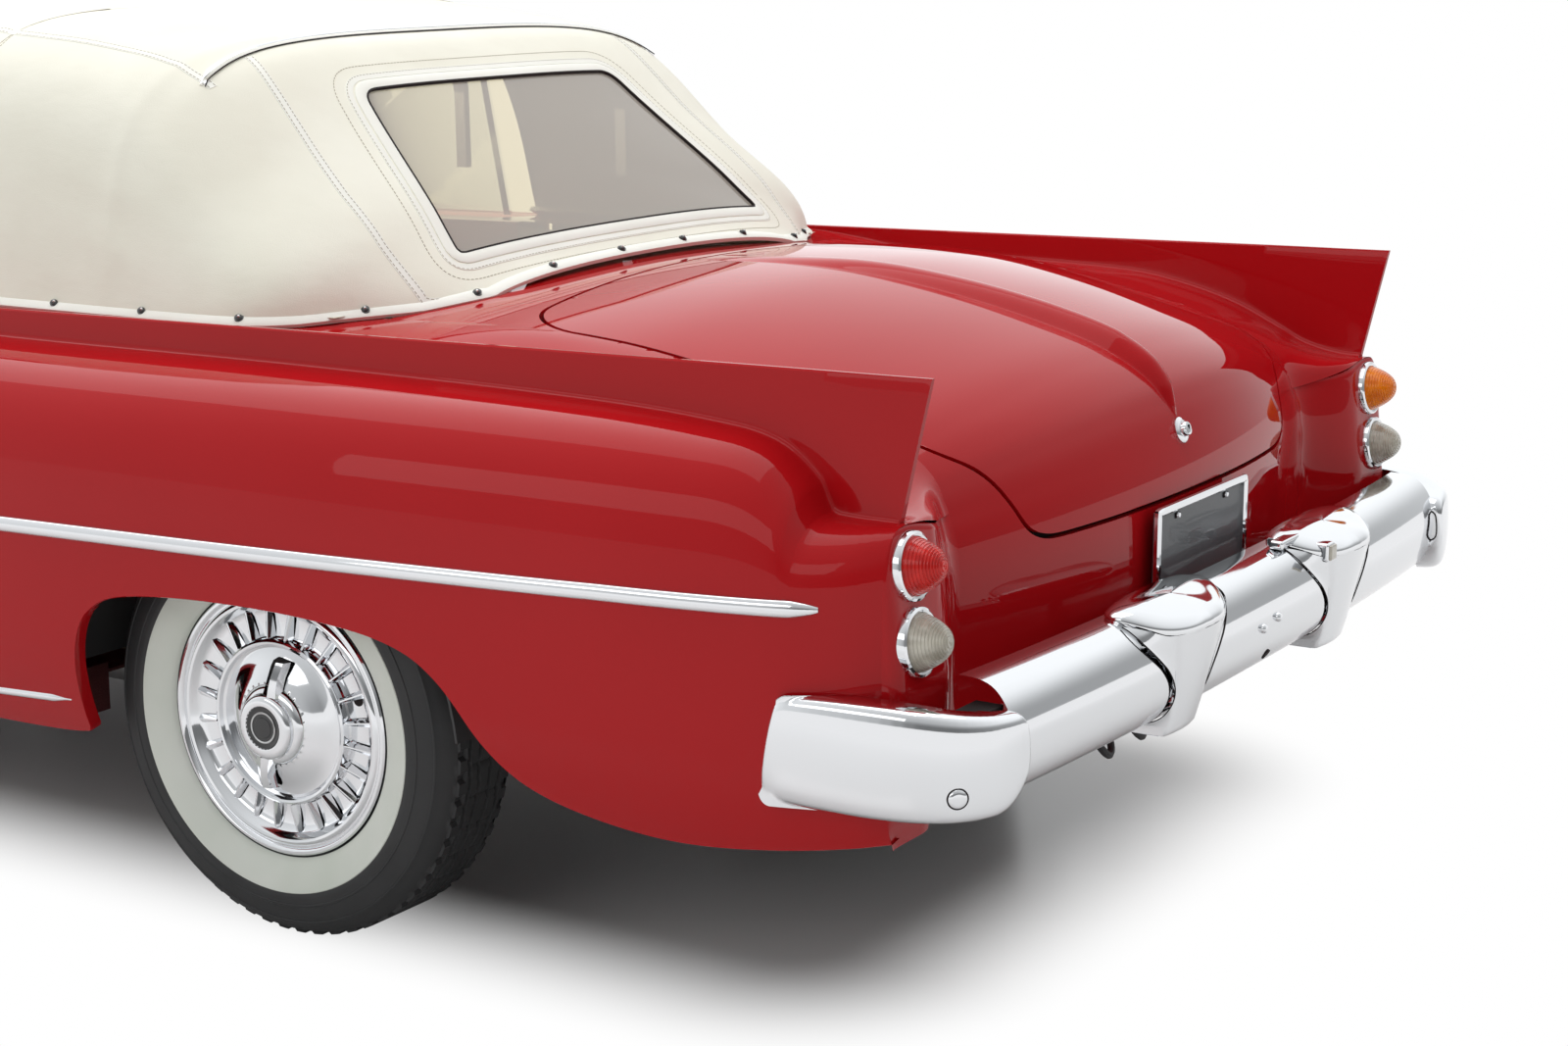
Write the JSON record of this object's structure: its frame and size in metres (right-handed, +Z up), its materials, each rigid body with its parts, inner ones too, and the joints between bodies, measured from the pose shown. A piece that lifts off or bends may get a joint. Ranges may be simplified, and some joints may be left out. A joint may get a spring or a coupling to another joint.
{
  "type": "two-door convertible car with tail fins",
  "caption": "Two-door convertible car with thin tail fins, raised cloth top, wrapped chrome bumpers and turning wheels, opening doors, bonnet and boot lid",
  "frame": {"origin": "on the ground under the middle of the bounding box", "axes": "+X towards the front of the car, +Y to its left, +Z up"},
  "size_m": [5.17, 1.9818, 1.3507],
  "materials": {
    "red_paint": "gloss",
    "dark_metal": "satin",
    "tyre_rubber": "matt",
    "chrome": "polished",
    "window_glass": "clear",
    "window_plastic": "smoky clear plastic",
    "top_canvas": "woven",
    "seat_vinyl": "soft sheen",
    "cabin_paint": "gloss",
    "ivory_plastic": "gloss",
    "headlamp_glass": "fluted",
    "lamp_lens": "ribbed",
    "plate_enamel": "satin"
  },
  "bodies": {
    "root": {"chassis_frame": "dark_metal", "floor_pan": "dark_metal", "wheel_arches": "dark_metal", "firewall": "dark_metal", "fender_left": "red_paint", "fender_right": "red_paint", "quarter_left": "red_paint", "quarter_right": "red_paint", "deck_panel": "red_paint", "tail_panel": "red_paint", "nose_panel": "red_paint", "cowl_panel": "red_paint", "windshield_frame": "chrome", "windshield": "window_glass", "dashboard": "cabin_paint", "front_seat": "seat_vinyl", "rear_seat": "seat_vinyl", "soft_top": "top_canvas", "rear_window": "window_plastic", "top_bows": "dark_metal", "front_bumper": "chrome", "rear_bumper_bar": "chrome", "rear_bumper_ends": "chrome", "rear_bumper_guards": "chrome", "grille": "chrome", "headlamps": "headlamp_glass", "tail_lamps": "lamp_lens", "number_plate": "plate_enamel", "engine": "dark_metal", "fuel_tank": "dark_metal", "exhaust": "dark_metal", "rear_axle": "dark_metal", "front_suspension": "dark_metal", "steering_column": "dark_metal"},
    "door_left": {"door_left": "red_paint", "door_glass_left": "window_glass"},
    "door_right": {"door_right": "red_paint", "door_glass_right": "window_glass"},
    "bonnet": {"bonnet": "red_paint"},
    "boot_lid": {"boot_lid": "red_paint"},
    "steering_wheel": {"steering_wheel": "ivory_plastic"},
    "knuckle_left": {"knuckle_left": "dark_metal"},
    "knuckle_right": {"knuckle_right": "dark_metal"},
    "road_wheel_front_left": {"tyre_front_left": "tyre_rubber", "wheel_front_left": "chrome"},
    "road_wheel_front_right": {"tyre_front_right": "tyre_rubber", "wheel_front_right": "chrome"},
    "road_wheel_rear_left": {"tyre_rear_left": "tyre_rubber", "wheel_rear_left": "chrome"},
    "road_wheel_rear_right": {"tyre_rear_right": "tyre_rubber", "wheel_rear_right": "chrome"}
  },
  "joints": [
    {"name": "steer_left", "type": "hinge", "parent": "root", "child": "knuckle_left", "pos_m": [1.558, 0.69, 0.33], "axis": [0, 0, 1], "range_deg": [-30, 30]},
    {"name": "steer_right", "type": "hinge", "parent": "root", "child": "knuckle_right", "pos_m": [1.558, -0.69, 0.33], "axis": [0, 0, 1], "range_deg": [-30, 30]},
    {"name": "steering_wheel_turn", "type": "hinge", "parent": "root", "child": "steering_wheel", "pos_m": [0.337, 0.37, 0.83], "axis": [-0.9063, 0, 0.4226], "range_deg": [-540, 540]},
    {"name": "front_left_spin", "type": "hinge", "parent": "knuckle_left", "child": "road_wheel_front_left", "pos_m": [1.558, 0.815, 0.33], "axis": [0, 1, 0], "continuous": true},
    {"name": "front_right_spin", "type": "hinge", "parent": "knuckle_right", "child": "road_wheel_front_right", "pos_m": [1.558, -0.815, 0.33], "axis": [0, 1, 0], "continuous": true},
    {"name": "rear_left_spin", "type": "hinge", "parent": "root", "child": "road_wheel_rear_left", "pos_m": [-1.363, 0.815, 0.33], "axis": [0, 1, 0], "continuous": true},
    {"name": "rear_right_spin", "type": "hinge", "parent": "root", "child": "road_wheel_rear_right", "pos_m": [-1.363, -0.815, 0.33], "axis": [0, 1, 0], "continuous": true},
    {"name": "door_left_swing", "type": "hinge", "parent": "root", "child": "door_left", "pos_m": [0.594, 0.981, 0.6], "axis": [0, 0, -1], "range_deg": [0, 65]},
    {"name": "door_right_swing", "type": "hinge", "parent": "root", "child": "door_right", "pos_m": [0.594, -0.981, 0.6], "axis": [0, 0, 1], "range_deg": [0, 65]},
    {"name": "bonnet_lift", "type": "hinge", "parent": "root", "child": "bonnet", "pos_m": [0.817, 0, 0.93], "axis": [0, -1, 0], "range_deg": [0, 55]},
    {"name": "boot_lid_lift", "type": "hinge", "parent": "root", "child": "boot_lid", "pos_m": [-1.539, 0, 0.943], "axis": [0, 1, 0], "range_deg": [0, 50]}
  ],
  "couplings": [
    {"joint": "steer_right", "follows": "steer_left", "ratio": 1},
    {"joint": "steering_wheel_turn", "follows": "steer_left", "ratio": 18}
  ]
}
